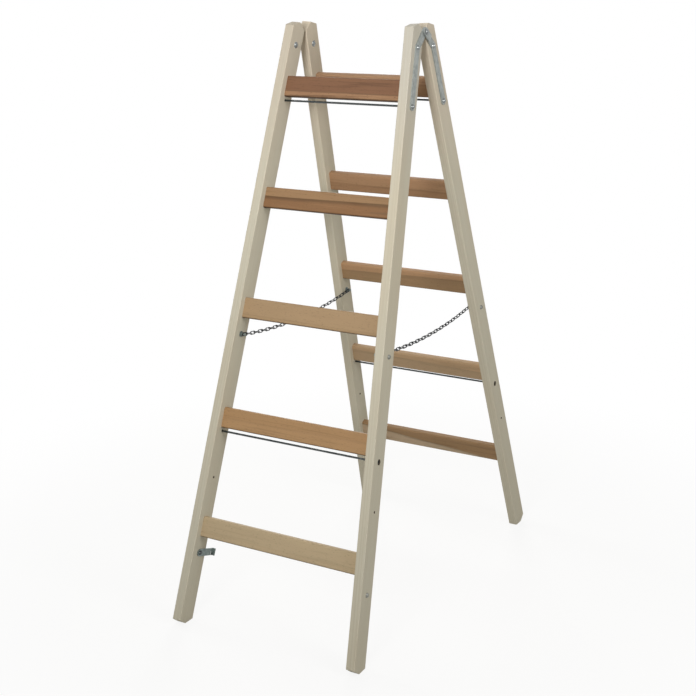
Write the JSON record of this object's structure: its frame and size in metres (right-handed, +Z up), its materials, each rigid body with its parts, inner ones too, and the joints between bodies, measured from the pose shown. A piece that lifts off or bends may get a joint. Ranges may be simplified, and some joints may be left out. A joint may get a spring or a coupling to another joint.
{
  "type": "trestle ladder",
  "caption": "Wooden trestle ladder with two hinged rung sections, strap hinges, spreader chains, steel tie rods and swinging hooks that hold it folded.",
  "frame": {"origin": "on the floor, midway between the four feet", "axes": "+X along the rungs, -Y towards the front section, +Z up"},
  "size_m": [0.5296, 1.0162, 1.462],
  "materials": {
    "stile_wood": "planed, bare pale softwood",
    "rung_wood": "planed, bare brown hardwood",
    "zinc_steel": "galvanised, dull",
    "rod_steel": "drawn, dull",
    "chain_steel": "galvanised, weathered"
  },
  "bodies": {
    "front_ladder": {"front_left_stile": "stile_wood", "front_right_stile": "stile_wood", "front_rung_1": "rung_wood", "front_rung_2": "rung_wood", "front_rung_3": "rung_wood", "front_rung_4": "rung_wood", "front_rung_5": "rung_wood", "front_upper_tie_rod": "rod_steel", "front_lower_tie_rod": "rod_steel", "front_rod_nuts": "rod_steel", "front_rod_caps": "zinc_steel", "front_left_hinge_strap": "zinc_steel", "front_right_hinge_strap": "zinc_steel", "front_hinge_bolts": "zinc_steel", "front_hinge_nuts": "zinc_steel", "front_chain_bolts": "zinc_steel", "front_chain_washers": "zinc_steel", "left_hinge_rivet": "zinc_steel", "right_hinge_rivet": "zinc_steel", "hook_bolts": "zinc_steel", "hook_nuts": "zinc_steel"},
    "rear_ladder": {"rear_left_stile": "stile_wood", "rear_right_stile": "stile_wood", "rear_rung_1": "rung_wood", "rear_rung_2": "rung_wood", "rear_rung_3": "rung_wood", "rear_rung_4": "rung_wood", "rear_rung_5": "rung_wood", "rear_upper_tie_rod": "rod_steel", "rear_lower_tie_rod": "rod_steel", "rear_rod_nuts": "rod_steel", "rear_rod_caps": "zinc_steel", "rear_left_hinge_strap": "zinc_steel", "rear_right_hinge_strap": "zinc_steel", "rear_hinge_bolts": "zinc_steel", "rear_hinge_nuts": "zinc_steel", "rear_chain_bolts": "zinc_steel", "rear_chain_washers": "zinc_steel", "catch_screws": "zinc_steel"},
    "left_hook": {"left_hook": "zinc_steel"},
    "left_chain_front_end": {"left_chain_front_end": "chain_steel"},
    "left_chain_front_run": {"left_chain_front_run": "chain_steel"},
    "left_chain_middle": {"left_chain_middle": "chain_steel"},
    "left_chain_rear_run": {"left_chain_rear_run": "chain_steel"},
    "left_chain_rear_end": {"left_chain_rear_end": "chain_steel", "left_chain_end_pin": "chain_steel"},
    "right_hook": {"right_hook": "zinc_steel"},
    "right_chain_front_end": {"right_chain_front_end": "chain_steel"},
    "right_chain_front_run": {"right_chain_front_run": "chain_steel"},
    "right_chain_middle": {"right_chain_middle": "chain_steel"},
    "right_chain_rear_run": {"right_chain_rear_run": "chain_steel"},
    "right_chain_rear_end": {"right_chain_rear_end": "chain_steel", "right_chain_end_pin": "chain_steel"}
  },
  "joints": [
    {"name": "fold", "type": "hinge", "parent": "front_ladder", "child": "rear_ladder", "pos_m": [0, 0, 1.44237], "axis": [-1, 0, 0], "range_deg": [0, 35]},
    {"name": "left_hook_swing", "type": "hinge", "parent": "front_ladder", "child": "left_hook", "pos_m": [-0.25438, -0.43, 0.17502], "axis": [0.9984, -0.017, -0.0541], "range_deg": [0, 60]},
    {"name": "left_chain_front_pivot", "type": "hinge", "parent": "front_ladder", "child": "left_chain_front_end", "pos_m": [-0.19057, -0.26176, 0.70862], "axis": [-1, 0, 0], "range_deg": [0, 93.01]},
    {"name": "left_chain_front_bend", "type": "hinge", "parent": "left_chain_front_end", "child": "left_chain_front_run", "pos_m": [-0.19057, -0.1267, 0.69334], "axis": [-1, 0, 0], "range_deg": [0, 12.23]},
    {"name": "left_chain_middle_front", "type": "hinge", "parent": "left_chain_front_run", "child": "left_chain_middle", "pos_m": [-0.19057, -0.01, 0.68872], "axis": [-1, 0, 0], "range_deg": [-87.74, 0]},
    {"name": "left_chain_middle_rear", "type": "hinge", "parent": "left_chain_middle", "child": "left_chain_rear_run", "pos_m": [-0.19057, 0.01, 0.68872], "axis": [-1, 0, 0], "range_deg": [-87.74, 0]},
    {"name": "left_chain_rear_bend", "type": "hinge", "parent": "left_chain_rear_run", "child": "left_chain_rear_end", "pos_m": [-0.19057, 0.1267, 0.69334], "axis": [-1, 0, 0], "range_deg": [0, 12.23]},
    {"name": "right_hook_swing", "type": "hinge", "parent": "front_ladder", "child": "right_hook", "pos_m": [0.25438, -0.43, 0.17502], "axis": [0.9984, 0.017, 0.0541], "range_deg": [0, 60]},
    {"name": "right_chain_front_pivot", "type": "hinge", "parent": "front_ladder", "child": "right_chain_front_end", "pos_m": [0.19057, -0.26176, 0.70862], "axis": [-1, 0, 0], "range_deg": [0, 93.01]},
    {"name": "right_chain_front_bend", "type": "hinge", "parent": "right_chain_front_end", "child": "right_chain_front_run", "pos_m": [0.19057, -0.1267, 0.69334], "axis": [-1, 0, 0], "range_deg": [0, 12.23]},
    {"name": "right_chain_middle_front", "type": "hinge", "parent": "right_chain_front_run", "child": "right_chain_middle", "pos_m": [0.19057, -0.01, 0.68872], "axis": [-1, 0, 0], "range_deg": [-87.74, 0]},
    {"name": "right_chain_middle_rear", "type": "hinge", "parent": "right_chain_middle", "child": "right_chain_rear_run", "pos_m": [0.19057, 0.01, 0.68872], "axis": [-1, 0, 0], "range_deg": [-87.74, 0]},
    {"name": "right_chain_rear_bend", "type": "hinge", "parent": "right_chain_rear_run", "child": "right_chain_rear_end", "pos_m": [0.19057, 0.1267, 0.69334], "axis": [-1, 0, 0], "range_deg": [0, 12.23]}
  ],
  "couplings": [
    {"joint": "left_chain_front_pivot", "follows": "fold", "ratio": 2.6574},
    {"joint": "left_chain_front_bend", "follows": "fold", "ratio": 0.34929},
    {"joint": "left_chain_middle_front", "follows": "fold", "ratio": -2.5067},
    {"joint": "left_chain_middle_rear", "follows": "fold", "ratio": -2.5067},
    {"joint": "left_chain_rear_bend", "follows": "fold", "ratio": 0.34929},
    {"joint": "right_chain_front_pivot", "follows": "fold", "ratio": 2.6574},
    {"joint": "right_chain_front_bend", "follows": "fold", "ratio": 0.34929},
    {"joint": "right_chain_middle_front", "follows": "fold", "ratio": -2.5067},
    {"joint": "right_chain_middle_rear", "follows": "fold", "ratio": -2.5067},
    {"joint": "right_chain_rear_bend", "follows": "fold", "ratio": 0.34929}
  ]
}
